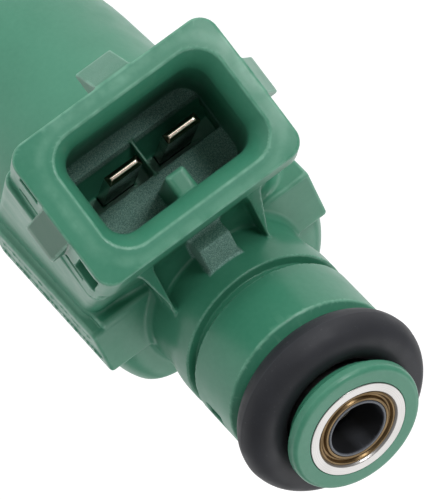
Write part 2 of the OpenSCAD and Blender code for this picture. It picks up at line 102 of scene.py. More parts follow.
# Socket, in its own frame: e across it towards the inlet, y, and d outward along its axis, which
# leaves the injector's axis at SOCKET_Z. Depths are from the rim's face inward.
TILT = math.radians(38.5)
SOCKET_Z = INLET_Z - 29.71
FACE = 23.63
RIM_Y = 0.3
RIM_SHIFT = 0.11                    # how far the rim's middle lies away from the inlet
RIM_HALF_Y = 8.55
RIM_HALF_E = 5.89
RIM_SIDE_T = 6.0
RIM_T = 4.6
SHELL_HALF_E = 5
SHELL_HALF_Y = 7.45
COLLAR_HALF_E = 5.55
COLLAR_TOP = FACE - RIM_T - 1.4
LUG_START = 0.15
LUG_CREST = 3.8
CAVITY_E = (-3.75, 3.3)
CAVITY_HALF_Y = 5.9
CAVITY_DEPTH = 10.2
LEAD_IN = 2.0
MOUTH_Y = -0.13
MOUTH_HALF_Y = 6.93
MOUTH_HALF_E = 4.62
MOUTH_CORNER = 2.3
BLADE_PITCH = 5.0
BLADE_E = -0.6
BLADE_W = 2.8
BLADE_T = 0.8
BLADE_INSET = 3.0
TERMINAL_BEND = 8.4
FOOT_X = 6.947                      # where the strip's foot runs down beside the axis
FOOT_SLOT = (46, 50.1)

# Radius and heights of the bores for the valve body and the yoke can
VALVE_BORE = (4.7, 16, 38)
YOKE_BORE = (8.1, 31.5, 47.5)


# ---------------------------------------------------------------- distance functions
def union(a, b, r=0.0):
    """Union of two distances, with a fillet of radius r where they meet."""
    if r <= 0:
        return np.minimum(a, b)
    u = np.maximum(r - a, 0)
    v = np.maximum(r - b, 0)
    return np.maximum(r, np.minimum(a, b)) - np.sqrt(u * u + v * v)


def cross(a, b, r=0.0):
    """Intersection of two distances, with its edge rounded to radius r."""
    return -union(-a, -b, r)


def cut(a, b, r=0.0):
    """a less b, with the edge rounded to radius r."""
    return -union(-a, b, r)


def slab(v, low, high):
    """Distance to the space between two parallel planes."""
    return np.abs(v - (low + high) / 2) - (high - low) / 2


def rect(u, v, half_u, half_v, corner):
    """Distance to a rounded rectangle centred on the origin."""
    p = np.abs(u) - half_u + corner
    q = np.abs(v) - half_v + corner
    return np.hypot(np.maximum(p, 0), np.maximum(q, 0)) + np.minimum(np.maximum(p, q), 0) - corner


def bar(e, y, d, es, ys, ds, corner, edge):
    """Rounded block: corner radius seen along d, and edge radius at its two ends."""
    flat = rect(e - sum(es) / 2, y - sum(ys) / 2, (es[1] - es[0]) / 2, (ys[1] - ys[0]) / 2, corner)
    return cross(flat, slab(d, *ds), edge)


def socket_frame(x, z):
    """Across the socket towards the inlet, and outward along its axis."""
    lift = z - SOCKET_Z
    return lift * math.cos(TILT) - x * math.sin(TILT), x * math.cos(TILT) + lift * math.sin(TILT)


def lug(out, across, depth, proud, half_w):
    """Latch lug: a ramp from the rim's face to a square catch at the rim's back."""
    run = math.hypot(LUG_CREST, proud)
    ramp = (out * LUG_CREST - (depth - LUG_START) * proud) / run
    body = cross(ramp, out - proud, 0.12)
    body = cross(body, slab(depth, LUG_START, RIM_T), 0.1)
    body = cross(body, -1 - out)
    return cross(body, np.abs(across) - half_w, 0.15)


def barrel_radius(z):
    return np.interp(z, BARREL_Z, BARREL_R)


def barrel(x, z, rho):
    """Barrel with a slight draft, and a relief across its front on the side away from the socket."""
    body = cross(0.98 * (rho - barrel_radius(z)), z - BARREL_FRONT, 2.3)
    body = cross(body, TAIL_Z - z)
    relief = cross(x - RELIEF_X, (RELIEF_Z - z) * 0.95 + (x - RELIEF_X) * 0.3, 0.6)
    return cut(body, relief, 0.9)


def side_block(x, y, z):
    """Flat-sided block with the pad on its +Y side."""
    ends = slab(z, BLOCK_BACK, BLOCK_FRONT)
    block = cross(cross(x - BLOCK_TOP, ends, 0.35), PARTING_X - x, 0.3)
    block = cross(block, np.abs(y) - BLOCK_HALF, 0.25)
    pad = cross(cross(x - BLOCK_TOP + 0.45, ends, 0.4), PARTING_X - x, 0.3)
    pad = cross(pad, slab(y, 0, PAD_HALF), 0.3)
    return union(block, pad, 0.06)


def add_flash(body, x, y, z, rho):
    """Two lines of flash along the pad's side, torn in places, and the fin at the mould's parting."""
    line = np.abs(x - PARTING_X - 1.4 - 0.06 * np.sin(4.3 * z)) - 0.1
    torn = 0.07 + 0.05 * np.sin(3.1 * z) * np.sin(1.3 * z + 0.7) + 0.03 * np.sin(11 * z)
    flash = cross(line, slab(y, INSIDE_PAD, PAD_HALF + 0.02) - torn, 0.04)
    body = union(body, cross(flash, slab(z, BLOCK_BACK + 1, BLOCK_FRONT - 0.5), 0.1), 0.03)
    line = np.abs(x - 3.2 - 0.12 * np.sin(1.7 * z)) - 0.13
    torn = 0.05 + 0.05 * np.sin(2.3 * z + 1) * np.sin(5.9 * z)
    flash = cross(line, slab(y, INSIDE_PAD, PAD_HALF) - torn, 0.05)
    body = union(body, cross(flash, slab(z, BLOCK_BACK + 2, BLOCK_FRONT - 0.8), 0.1), 0.05)
    fin = cross(np.abs(x - PARTING_X) - 0.09, rho - barrel_radius(z) - 0.12, 0.05)
    fin = cross(fin, slab(z, TAIL_Z + 2, BARREL_FRONT - 1.6), 0.05)
    return union(body, fin, 0.05)


def add_neck(body, x, y, z, rho):
    """Neck with its chamfered front edge, clip groove and slot."""
    swell = np.clip((z - SWELL_Z) / SWELL_RUN, 0, 1)
    neck_r = NECK_ROOT_R + (NECK_R - NECK_ROOT_R) * swell * swell * (3 - 2 * swell)
    neck = cross(rho - neck_r, z - NECK_TOP, 0.35)
    neck = cross(neck, 0.57 * (rho - neck_r) + 0.82 * (z - NECK_TOP + 0.75), 0.1)
    neck = cross(neck, 50 - z)
    body = union(body, neck, 0.6)
    groove = cross(GROOVE_R - rho, slab(z, *GROOVE), 0.08)
    body = cut(body, groove, 0.12)
    slot = cross(np.abs(x) - SLOT_HALF, slab(z, *SLOT), 0.2)
    slot = cross(slot, NECK_R - SLOT_DEPTH - y)
    return cut(body, slot, 0.08)


def add_gussets(body, x, y, z):
    """Two gussets under the socket, the fill between them and the gate boss."""
    for side in (-1, 1):
        beside = (y - GUSSET_Y) * side
        outer = beside - GUSSET_FACES[1] - 0.22 * np.maximum(x - 5.8, 0)
        gusset = cross(GUSSET_FACES[0] - beside, outer, 0.1)
        gusset = cross(gusset, z - GUSSET_TOP, 0.12)
        gusset = cross(gusset, slab(x, 4, 11))
        gusset = cross(gusset, BLOCK_FRONT - 2 - z)
        body = union(body, gusset, 0.25)
    fill = cross(cross(slab(y, -4, 4.6), slab(z, BLOCK_FRONT - 1, 58.7)), slab(x, 4, 9.2))
    body = union(body, fill, 0.3)
    boss = cross(slab(y, -1.4, 1.2), slab(x, 5, 8.9), 0.12)
    boss = cross(boss, slab(z, BLOCK_FRONT - 1, BOSS_TOP), 0.12)
    return union(body, boss, 0.2)


# Pockets in the rim's short sides, and slits beside the lugs: each one's e and depth from and to,
# and how far it sinks in
POCKETS = ((-4.1, -2.15, 0.5, 1.6, 0.7),
           (2.67, 4.76, 0.9, 3.9, 0.7),
           (-3.9, -1.62, 4.15, 4.7, 0.55),
           (1.62, 3.7, 4.15, 4.7, 0.55))


def socket_shell(x, y, e, d):
    """Shell, collar, the wall down to the block on the pad's side, and the rim with its lugs."""
    depth = FACE - d
    wide = (RIM_Y - SHELL_HALF_Y, RIM_Y + SHELL_HALF_Y)
    thick = (-COLLAR_HALF_E, COLLAR_HALF_E)
    shell = bar(e, y, d, (-SHELL_HALF_E, SHELL_HALF_E), wide, (5, FACE - 1), 1.6, 0.1)
    collar = bar(e, y, d, thick, wide, (5, COLLAR_TOP), 1.8, 0.3)
    shell = union(shell, collar, 0.2)
    cheek = bar(e, y, d, thick, (0, BLOCK_HALF + 0.1), (0, COLLAR_TOP), 1.0, 0.25)
    shell = union(shell, cross(cheek, BLOCK_TOP - 0.55 - x), 0.1)
    # The rim flares with depth, and is deeper on its short sides
    flare = np.maximum(depth, 0) * (0.035 + 0.008 * e)
    rim = rect(e + RIM_SHIFT, y - RIM_Y, RIM_HALF_E, RIM_HALF_Y + flare, 1.4)
    rim = cross(rim, -depth, 0.15)
    sides = cross(rim, np.maximum(depth - RIM_SIDE_T, np.abs(e) - 5.3), 0.15)
    rim = cross(rim, depth - RIM_T, 0.15)
    shell = union(shell, union(rim, sides), 0.15)
    side_lugs = lug(np.abs(y - RIM_Y) - RIM_HALF_Y, e + 0.15 * (1 - np.sign(y)), depth, 1.3, 1.52)
    rear_lug = lug(-RIM_HALF_E - RIM_SHIFT - e, y + 0.42, depth, 2.0, 1.5)
    shell = union(shell, union(side_lugs, rear_lug), 0.12)
    for low, high, near, far, sink in POCKETS:
        pocket = cross(slab(e, low, high), slab(depth, near, far), 0.12)
        pocket = cross(pocket, RIM_HALF_Y - sink - np.abs(y - RIM_Y), 0.1)
        shell = cut(shell, pocket, 0.05)
    # The rim's face falls away a little towards its outside
    crown = 0.12 * np.maximum(rect(e, y - MOUTH_Y, MOUTH_HALF_E, MOUTH_HALF_Y, MOUTH_CORNER), 0)
    return cross(shell, crown - depth, 0.15)


def socket_cavity(y, e, depth):
    """Cavity with its curved lead-in, two floor troughs and keying rib."""
    t = np.clip(depth / LEAD_IN, 0, 1)
    t = 1 - (1 - t) ** 1.6
    mid_e = t * sum(CAVITY_E) / 2
    half_e = MOUTH_HALF_E + t * ((CAVITY_E[1] - CAVITY_E[0]) / 2 - MOUTH_HALF_E)
    half_y = MOUTH_HALF_Y + t * (CAVITY_HALF_Y - MOUTH_HALF_Y)
    corner = MOUTH_CORNER - 0.8 * t
    cavity = 0.8 * rect(e - mid_e, y - MOUTH_Y * (1 - t), half_e, half_y, corner)
    cavity = cross(cavity, depth - CAVITY_DEPTH, 0.25)
    for side in (-1, 1):
        trough = cross(slab(e, -2.6, 0.3), slab((y + 0.15) * side, 0.11, 5.75), 0.08)
        trough = cross(trough, (depth - CAVITY_DEPTH - 1.6 * (e + 2.6)) / 1.9, 0.1)
        trough = cross(trough, depth - CAVITY_DEPTH - 2.4, 0.1)
        cavity = union(cavity, cross(trough, CAVITY_DEPTH - 1 - depth), 0.08)
    rib = cross(cross(np.abs(y + 0.3) - 0.85, 1.4 - e, 0.3), 3.6 - depth, 0.45)
    return cut(cavity, rib, 0.3)


def bores(x, y, z, rho, e, d):
    """Bores for the metal pieces, and the slots round the two terminals."""
    bore = cross(rho - SEAT_R - FIT, SKIRT_BOTTOM - 1 - z)
    for r, low, high in (VALVE_BORE, YOKE_BORE):
        bore = union(bore, cross(rho - r - FIT, slab(z, low - FIT, high + FIT)))
    half_t = BLADE_T / 2 + FIT
    half_w = BLADE_W / 2 + FIT
    both = np.abs(np.abs(y) - BLADE_PITCH / 2) - half_w
    blade_slot = cross(slab(e, BLADE_E - half_t, BLADE_E + half_t), TERMINAL_BEND - d)
    foot_slot = slab(z, FOOT_SLOT[0] - FIT, FOOT_SLOT[1])
    foot_slot = cross(slab(x, FOOT_X - half_t, FOOT_X + half_t), foot_slot)
    return union(bore, cross(union(blade_slot, foot_slot), both))


def overmould(p):
    """The green moulding: barrel, block, neck and socket as one solid, with its bores."""
    x, y, z = p[:, 0], p[:, 1], p[:, 2]
    rho = np.hypot(x, y)
    e, d = socket_frame(x, z)
    body = union(barrel(x, z, rho), side_block(x, y, z), 0.4)
    body = add_flash(body, x, y, z, rho)
    skirt = cross(cross(rho - SKIRT_R, SKIRT_BOTTOM - z, 0.4), z - TAIL_Z - 3)
    body = union(body, skirt, 0.8)
    body = add_neck(body, x, y, z, rho)
    body = add_gussets(body, x, y, z)
    body = union(body, socket_shell(x, y, e, d), 0.5)
    body = cut(body, socket_cavity(y, e, FACE - d), 0.1)
    return cut(body, bores(x, y, z, rho, e, d))


def evaluate(f, points, chunk=60000):
    """f at every point, a part of them at a time to save memory."""
    return np.concatenate([f(points[i:i + chunk]) for i in range(0, len(points), chunk)])


def gradient(f, points, step=0.01):
    """The slope of f at every point, from central differences."""
    g = np.empty_like(points)
    for a in range(3):
        off = np.zeros(3)
        off[a] = step
        g[:, a] = (evaluate(f, points + off) - evaluate(f, points - off)) / (2 * step)
    return g


def sampled(f, low, high, cell, block=4):
    """f on a grid over a box: its value in blocks of cells near the surface, and its sign elsewhere."""
    n = np.ceil((high - low) / (cell * block)).astype(int)
    centres = np.stack(np.meshgrid(*[np.arange(k) for k in n], indexing="ij"), -1).reshape(-1, 3)
    at = evaluate(f, low + (centres + 0.5) * cell * block)
    half_diagonal = cell * block * 0.9
    near = np.abs(at) < half_diagonal * 1.15
    field = np.ones(n * block + 1, np.float32)
    signs = np.where(at < 0, -1, 1).astype(np.float32).reshape(n)
    field[:-1, :-1, :-1] = signs.repeat(block, 0).repeat(block, 1).repeat(block, 2)
    local = np.stack(np.meshgrid(*[np.arange(block + 1)] * 3, indexing="ij"), -1).reshape(1, -1, 3)
    nodes = (centres[near][:, None] * block + local).reshape(-1, 3)
    keys = np.unique(np.ravel_multi_index(nodes.T, field.shape))
    nodes = np.stack(np.unravel_index(keys, field.shape), -1)
    field.ravel()[keys] = evaluate(f, low + nodes * cell)
    return field


def surface(f, low, high, cell):
    """Points and quads of the zero surface of f in a box.

    There is one point in each cell of the grid that the surface crosses, and each edge of the grid
    that it crosses gives a quad between the four cells round that edge.
    """
    low = np.array(low, float)
    field = sampled(f, low, np.array(high), cell)
    solid = field < 0
    cells, spots, quads, flips = [], [], [], []
    for a in range(3):
        first = [slice(None)] * 3
        second = [slice(None)] * 3
        first[a] = slice(0, -1)
        second[a] = slice(1, None)
        where = np.stack(np.nonzero(solid[tuple(first)] ^ solid[tuple(second)]), -1)
        step = np.eye(3, dtype=int)[a]
        f0 = field[tuple(where.T)].astype(float)
        f1 = field[tuple((where + step).T)].astype(float)
        spot = where + step * (f0 / (f0 - f1))[:, None]
        b, c = np.eye(3, dtype=int)[(a + 1) % 3], np.eye(3, dtype=int)[(a + 2) % 3]
        ring = [where - b - c, where - c, where, where - b]
        ids = np.stack([np.ravel_multi_index(r.T, field.shape) for r in ring], -1)
        cells.append(ids.ravel())
        spots.append(spot.repeat(4, 0))
        quads.append(ids)
        flips.append(f0 < 0)
    cells = np.concatenate(cells)
    spots = np.concatenate(spots)
    quads = np.concatenate(quads)
    flips = np.concatenate(flips)
    names, inverse = np.unique(cells, return_inverse=True)
    count = np.bincount(inverse)
    points = np.stack([np.bincount(inverse, spots[:, a]) / count for a in range(3)], -1)
    points = low + points * cell
    # Number the points from 0, and turn every quad the same way round
    quads = np.searchsorted(names, quads)
    quads[flips] = quads[flips][:, ::-1]
    # Settle the points on the surface, by at most half a cell a time
    for _ in range(3):
        g = gradient(f, points)
        move = g * (evaluate(f, points) / np.maximum((g * g).sum(1), 0.05))[:, None]
        length = np.linalg.norm(move, axis=1)
        points -= move * np.minimum(1, 0.5 * cell / np.maximum(length, 1e-9))[:, None]
    return points, quads


# ---------------------------------------------------------------- mesh helpers
def make_mesh(name, points, faces, normals=None):
    """A mesh object from points in mm and equal-sized faces, smooth shaded."""
    faces = np.asarray(faces)
    mesh = bpy.data.meshes.new(name)
    mesh.vertices.add(len(points))
    mesh.vertices.foreach_set("co", (np.asarray(points) * MM).astype(np.float32).ravel())
    mesh.loops.add(faces.size)
    mesh.loops.foreach_set("vertex_index", faces.ravel().astype(np.int32))
    mesh.polygons.add(len(faces))
    mesh.polygons.foreach_set("loop_start", np.arange(0, faces.size, faces.shape[1], dtype=np.int32))
    mesh.update(calc_edges=True)
    mesh.polygons.foreach_set("use_smooth", np.ones(len(faces), bool))
    if normals is not None:
        mesh.normals_split_custom_set_from_vertices(normals.tolist())
    obj = bpy.data.objects.new(name, mesh)
    bpy.context.scene.collection.objects.link(obj)
    return obj


def thin_out(obj, faces):
    """Collapses the flattest edges until about this many triangles are left."""
    modifier = obj.modifiers.new("thin", "DECIMATE")
    modifier.ratio = min(1, faces / (2 * len(obj.data.polygons)))
    graph = bpy.context.evaluated_depsgraph_get()
    mesh = bpy.data.meshes.new_from_object(obj.evaluated_get(graph))
    obj.modifiers.clear()
    old, obj.data = obj.data, mesh
    bpy.data.meshes.remove(old)


EDGE_REACH = 0.12                   # mm over which a piece's bend is measured
EDGE_FULL = 0.6                     # bend of a fully sharp edge


def field_piece(name, f, box, cell, faces, to_world=None):
    """A piece whose surface is where f is zero, in about this many triangles.

    box is in the sampling frame, which to_world turns into the world. The point attribute "edge" is
    1 on a sharp outside edge, 0 on a flat face and -1 in a sharp inside corner.
    """
    turn = np.eye(3) if to_world is None else to_world
    points, quads = surface(lambda p: f(p @ turn.T), *box, cell)
    if np.linalg.det(turn) > 0:
        quads = quads[:, ::-1]
    obj = make_mesh(name, points @ turn.T, quads)
    thin_out(obj, faces)
    mesh = obj.data
    points = np.empty(len(mesh.vertices) * 3)
    mesh.vertices.foreach_get("co", points)
    points = points.reshape(-1, 3) / MM
    normals = gradient(f, points, 0.02)
    normals /= np.linalg.norm(normals, axis=1)[:, None]
    mesh.polygons.foreach_set("use_smooth", np.ones(len(mesh.polygons), bool))
    mesh.normals_split_custom_set_from_vertices(normals.tolist())
    bend = -6 * evaluate(f, points)
    for a in range(3):
        off = np.zeros(3)
        off[a] = EDGE_REACH
        bend += evaluate(f, points + off) + evaluate(f, points - off)
    sharp = np.clip(bend / EDGE_REACH / EDGE_FULL, -1, 1)
    edge = mesh.attributes.new("edge", "FLOAT", "POINT")
    edge.data.foreach_set("value", sharp.astype(np.float32))
    return obj


def stepped(outline, inset=0.1):
    """The outline with points added near both ends of its long sides, so that the edge tint stays
    narrow.
    """
    outline = np.array(outline, float)
    points = []
    for a, b in zip(outline, np.roll(outline, -1, 0)):
        points.append(a)
        length = np.linalg.norm(b - a)
        if length > 3 * inset:
            points += [a + (b - a) * inset / length, b - (b - a) * inset / length]
    return np.array(points)


SHARP_BEND = 0.35                   # turn, in radians, that counts as a fully sharp edge


def lathe(name, outline, segments=192):
    """Turns a closed outline of (radius, z) points, counterclockwise, round the axis."""
    outline = stepped(outline)
    n = len(outline)
    angles = np.linspace(0, 2 * math.pi, segments, endpoint=False)
    spin = np.stack([np.cos(angles), np.sin(angles)], -1)
    along = np.roll(outline, -1, 0) - outline
    side = np.stack([along[:, 1], -along[:, 0]], -1)
    bent = side + np.roll(side, 1, 0)
    bent /= np.linalg.norm(bent, axis=1)[:, None]

    def turned(flat):
        ring = np.empty((segments, n, 3))
        ring[..., 0] = spin[:, None, 0] * flat[None, :, 0]
        ring[..., 1] = spin[:, None, 1] * flat[None, :, 0]
        ring[..., 2] = flat[None, :, 1]
        return ring.reshape(-1, 3)

    i, j = np.meshgrid(np.arange(segments), np.arange(n), indexing="ij")
    i2, j2 = (i + 1) % segments, (j + 1) % n
    faces = np.stack([i * n + j, i2 * n + j, i2 * n + j2, i * n + j2], -1).reshape(-1, 4)
    obj = make_mesh(name, turned(outline), faces, turned(bent))
    heading = np.arctan2(along[:, 1], along[:, 0])
    corner = (heading - np.roll(heading, 1) + math.pi) % (2 * math.pi) - math.pi
    sharp = np.tile(np.clip(corner / SHARP_BEND, 0, 1), segments)
    edge = obj.data.attributes.new("edge", "FLOAT", "POINT")
    edge.data.foreach_set("value", sharp.astype(np.float32))
    return obj


def rounded(corners, radii, steps):
    """A closed outline through these corners, each rounded by its own radius or what fits there."""
    corners = np.array(corners, float)
    points = []
    for i, r in enumerate(radii):
        at = corners[i]
        back = corners[i - 1] - at
        on = corners[(i + 1) % len(corners)] - at
        reach = [np.linalg.norm(back), np.linalg.norm(on)]
        back, on = back / reach[0], on / reach[1]
        half = math.acos(np.clip(back @ on, -1, 1)) / 2
        length = min(r / math.tan(half), 0.45 * min(reach))
        r = length * math.tan(half)
        middle = back + on
        centre = at + middle / np.linalg.norm(middle) * (r / math.sin(half))
        a = at + back * length - centre
        b = at + on * length - centre
        turn = math.atan2(a[0] * b[1] - a[1] * b[0], a @ b)
        for k in range(steps + 1):
            c, s = math.cos(turn * k / steps), math.sin(turn * k / steps)
            points.append(centre + np.array([c * a[0] - s * a[1], s * a[0] + c * a[1]]))
    return points


# ---------------------------------------------------------------- materials
class Nodes:
    """A short way to write a node material."""

    def __init__(self, name):
        self.material = bpy.data.materials.new(name)
        self.material.use_nodes = True
        self.tree = self.material.node_tree
        self.tree.nodes.clear()
        out = self.tree.nodes.new("ShaderNodeOutputMaterial")
        self.shader = self.tree.nodes.new("ShaderNodeBsdfPrincipled")
        self.link(self.shader.outputs[0], out.inputs[0])
        self.place = self.tree.nodes.new("ShaderNodeTexCoord").outputs["Object"]

    def link(self, a, b):
        self.tree.links.new(a, b)

    def put(self, kind, values=(), **settings):
        """A node with its settings, and its inputs by name or number: a value or another output."""
        node = self.tree.nodes.new("ShaderNode" + kind)
        for k, v in settings.items():
            setattr(node, k, v)
        for k, v in dict(values).items():
            if isinstance(v, bpy.types.NodeSocket):
                self.link(v, node.inputs[k])
            else:
                node.inputs[k].default_value = v
        return node

    def noise(self, scale, detail=3, rough=0.5, vector=None):
        return self.put("TexNoise", {"Vector": vector or self.place, "Scale": scale, "Detail": detail,
                                     "Roughness": rough}).outputs["Fac"]

    def stretched(self, scale):
        """The object's coordinates multiplied by three factors."""
        return self.put("VectorMath", {0: self.place, 1: scale}, operation="MULTIPLY").outputs[0]

    def ramp(self, value, low, high, a=0.0, b=1.0):
        """a where value is low or less, b where it is high or more, and a straight line between."""
        return self.put("MapRange", {"Value": value, "From Min": low, "From Max": high,
                                     "To Min": a, "To Max": b}).outputs[0]

    def math(self, operation, a, b=0.0):
        return self.put("Math", {0: a, 1: b}, operation=operation).outputs[0]

    def mix(self, factor, a, b):
        """a to b by factor, for colours given as RGBA or as outputs."""
        node = self.put("Mix", {"Factor": factor}, data_type="RGBA")
        for socket, v in ((6, a), (7, b)):
            if isinstance(v, bpy.types.NodeSocket):
                self.link(v, node.inputs[socket])
            else:
                node.inputs[socket].default_value = v
        return node.outputs[2]

    def edge_tint(self, low, high, most):
        """0 where the mesh's edge attribute is low, rising to most where it is high."""
        edge = self.put("Attribute", attribute_name="edge").outputs["Fac"]
        return self.math("MULTIPLY", self.ramp(edge, low, high), most)

    def bump(self, height, distance, strength=1.0, under=None):
        values = {"Height": height, "Distance": distance, "Strength": strength}
        if under is not None:
            values["Normal"] = under
        return self.put("Bump", values).outputs[0]

    def box_mask(self, coordinates, low, high, soft):
        """1 inside a box given in mm, falling to 0 over soft mm outside it."""
        centre = [(a + b) / 2 * MM for a, b in zip(low, high)]
        half = [(b - a) / 2 * MM for a, b in zip(low, high)]
        off = self.put("VectorMath", {0: coordinates, 1: centre}, operation="SUBTRACT").outputs[0]
        off = self.put("VectorMath", {0: off}, operation="ABSOLUTE").outputs[0]
        off = self.put("VectorMath", {0: off, 1: half}, operation="SUBTRACT").outputs[0]
        parts = self.put("SeparateXYZ", {0: off}).outputs
        most = self.math("MAXIMUM", self.math("MAXIMUM", parts[0], parts[1]), parts[2])
        return self.ramp(most, 0, soft * MM, 1, 0)

    def across(self):
        """The object's coordinates turned into the socket's frame: -e, y and SOCKET_Z + d."""
        values = {"Vector": self.place, "Center": (0, 0, SOCKET_Z * MM), "Axis": (0, 1, 0),
                  "Angle": TILT - math.pi / 2}
        return self.put("VectorRotate", values, rotation_type="AXIS_ANGLE").outputs[0]

    def finish(self, colour=None, roughness=None, normal=None, **plain):
        """Links or sets the shader's inputs, and gives the material."""
        values = {"Base Color": colour, "Roughness": roughness, "Normal": normal, **plain}
        for name, v in values.items():
            if v is None:
                continue
            if isinstance(v, bpy.types.NodeSocket):
                self.link(v, self.shader.inputs[name])
            else:
                self.shader.inputs[name].default_value = v
        return self.material


def rgb(r, g, b):
    """An opaque colour, linear."""
    return (r, g, b, 1)


# Pitch of the coil's wire and of the filter's weft, in metres, and threads round the filter
WIRE = 0.0003
THREAD = 0.00015
THREADS_ROUND = 72


def nylon():
    """Moulded green nylon: satin, faintly mottled, pale-specked with a painted sheen where the tool was
    rough.
    """
    m = Nodes("nylon_green")
    across = m.across()
    broad = m.ramp(m.noise(140, 2), 0.35, 0.65)
    fine = m.ramp(m.noise(2600, 2), 0.3, 0.7)
    base = m.mix(broad, rgb(0.040, 0.216, 0.130), rgb(0.050, 0.241, 0.148))
    base = m.mix(m.math("MULTIPLY", fine, 0.3), base, rgb(0.069, 0.274, 0.174))
    # Painted shade: the ramps of the side lug and the rear lug are coloured darker
    face_d = SOCKET_Z + FACE
    side_ramp = m.box_mask(across, (-1.6, RIM_Y + RIM_HALF_Y + 0.1, face_d - 4.7),
                           (1.6, 10.4, face_d - 0.35), 0.08)
    rear_ramp = m.box_mask(across, (RIM_HALF_E + 0.2, -2, face_d - 4.7),
                           (RIM_HALF_E + 2.4, 1.2, face_d - 0.3), 0.08)
    painted_ramp_shade = m.math("MAXIMUM", side_ramp, m.math("MULTIPLY", rear_ramp, 0.45))
    base = m.mix(m.math("MULTIPLY", painted_ramp_shade, 0.85), base, rgb(0.014, 0.115, 0.062))
    # Painted highlight: pale colour on the mould's sharp outside edges
    painted_edge_highlight = m.edge_tint(0.3, 0.9, m.ramp(m.noise(900, 3), 0.35, 0.6, 0.2, 0.65))
    base = m.mix(painted_edge_highlight, base, rgb(0.19, 0.43, 0.31))
    # Rough moulded areas: the cavity's floor, the gate boss and a trace on the rear lug's ramp
    floor_d = face_d - CAVITY_DEPTH
    cavity_floor = m.box_mask(across, (-CAVITY_E[1] - 0.1, -6, floor_d - 0.3),
                              (-CAVITY_E[0] + 0.1, 6, floor_d + 0.12), 0.2)
    gate_boss = m.box_mask(m.place, (6.4, -1.5, 58.6), (9.1, 1.3, INLET_Z - 13.8), 0.15)
    rear_trace = m.box_mask(across, (RIM_HALF_E + 0.2, -1.75, face_d - 4.5),
                            (RIM_HALF_E + 2.4, 1.2, face_d - 0.6), 0.15)
    # The wall between the floor's two troughs is smooth, and painted darker as shade
    divide = m.box_mask(across, (-0.4, -0.35, floor_d - 3), (2.7, 0.05, floor_d + 1), 0.06)
    cavity_floor = m.math("MULTIPLY", cavity_floor, m.ramp(divide, 0, 1, 1, 0))
    base = m.mix(m.math("MULTIPLY", divide, 0.6), base, rgb(0.045, 0.17, 0.11))
    rough = m.math("MAXIMUM", cavity_floor, gate_boss)
    rough = m.math("MAXIMUM", rough, m.math("MULTIPLY", rear_trace, 0.12))
    grain = m.noise(12500, 3, 0.75)
    speck = m.ramp(grain, 0.42, 0.68)
    # Pale specks of the rough grain, on a paler tone that is painted sheen
    speck_and_sheen = m.mix(speck, rgb(0.10, 0.25, 0.20), rgb(0.42, 0.66, 0.58))
    base = m.mix(rough, base, speck_and_sheen)
    normal = m.bump(m.noise(3200, 2), 0.00001, 0.3)
    normal = m.bump(m.math("MULTIPLY", grain, rough), 0.00008, 1.0, normal)
    gloss = m.ramp(m.noise(500, 3), 0.3, 0.7, 0.31, 0.42)
    return m.finish(base, m.math("ADD", gloss, m.math("MULTIPLY", rough, 0.12)), normal)


def rubber():
    """Moulded rubber with dust and a faint bloom."""
    m = Nodes("rubber_black")
    bloom = m.ramp(m.noise(260, 4), 0.3, 0.7)
    base = m.mix(bloom, rgb(0.0205, 0.0215, 0.0257), rgb(0.030, 0.0315, 0.0375))
    dust = m.ramp(m.noise(4200, 2, 0.6), 0.66, 0.74)
    base = m.mix(m.math("MULTIPLY", dust, 0.12), base, rgb(0.16, 0.17, 0.18))
    base = m.mix(m.edge_tint(0.3, 1, 0.3), base, rgb(0.08, 0.085, 0.1))
    normal = m.bump(m.noise(1800, 3), 0.00001, 0.35)
    gloss = m.ramp(m.noise(700, 3), 0.3, 0.7, 0.46, 0.58)
    return m.finish(base, gloss, normal, **{"Specular IOR Level": 0.26})


def steel(name, low, high, roughness):
    """Turned steel: marks run round the axis on faces and on sides alike."""
    m = Nodes(name)
    parts = m.put("SeparateXYZ", {0: m.place}).outputs
    flat = m.put("CombineXYZ", {0: parts[0], 1: parts[1]}).outputs[0]
    rho = m.put("VectorMath", {0: flat}, operation="LENGTH").outputs["Value"]
    along = m.math("MULTIPLY", m.math("ADD", rho, parts[2]), 14000)
    marks = m.put("TexNoise", {"W": along, "Scale": 1, "Detail": 3}, noise_dimensions="1D")
    marks = marks.outputs["Fac"]
    stain = m.ramp(m.noise(420, 4), 0.35, 0.7)
    base = m.mix(m.ramp(marks, 0.3, 0.7), low, high)
    base = m.mix(m.math("MULTIPLY", stain, 0.2), base, rgb(0.4, 0.385, 0.365))
    base = m.mix(m.edge_tint(0.4, 1, 0.6), base, rgb(0.7, 0.69, 0.68))
    normal = m.bump(marks, 0.000002, 0.3)
    rough = m.ramp(stain, 0, 1, roughness, roughness + 0.1)
    rough = m.math("ADD", rough, m.ramp(marks, 0.3, 0.7, 0, 0.05))
    return m.finish(base, rough, normal, Metallic=1.0)


def brass():
    """Brass with a dull brown tarnish, brighter on its edges."""
    m = Nodes("brass_satin")
    tarnish = m.ramp(m.noise(700, 3), 0.3, 0.7)
    base = m.mix(tarnish, rgb(0.10, 0.066, 0.031), rgb(0.19, 0.13, 0.066))
    base = m.mix(m.edge_tint(0.4, 1, 0.3), base, rgb(0.45, 0.36, 0.23))
    normal = m.bump(m.noise(2600, 3), 0.000012, 0.5)
    return m.finish(base, m.ramp(m.noise(1500, 3), 0.3, 0.7, 0.24, 0.4), normal, Metallic=1.0)


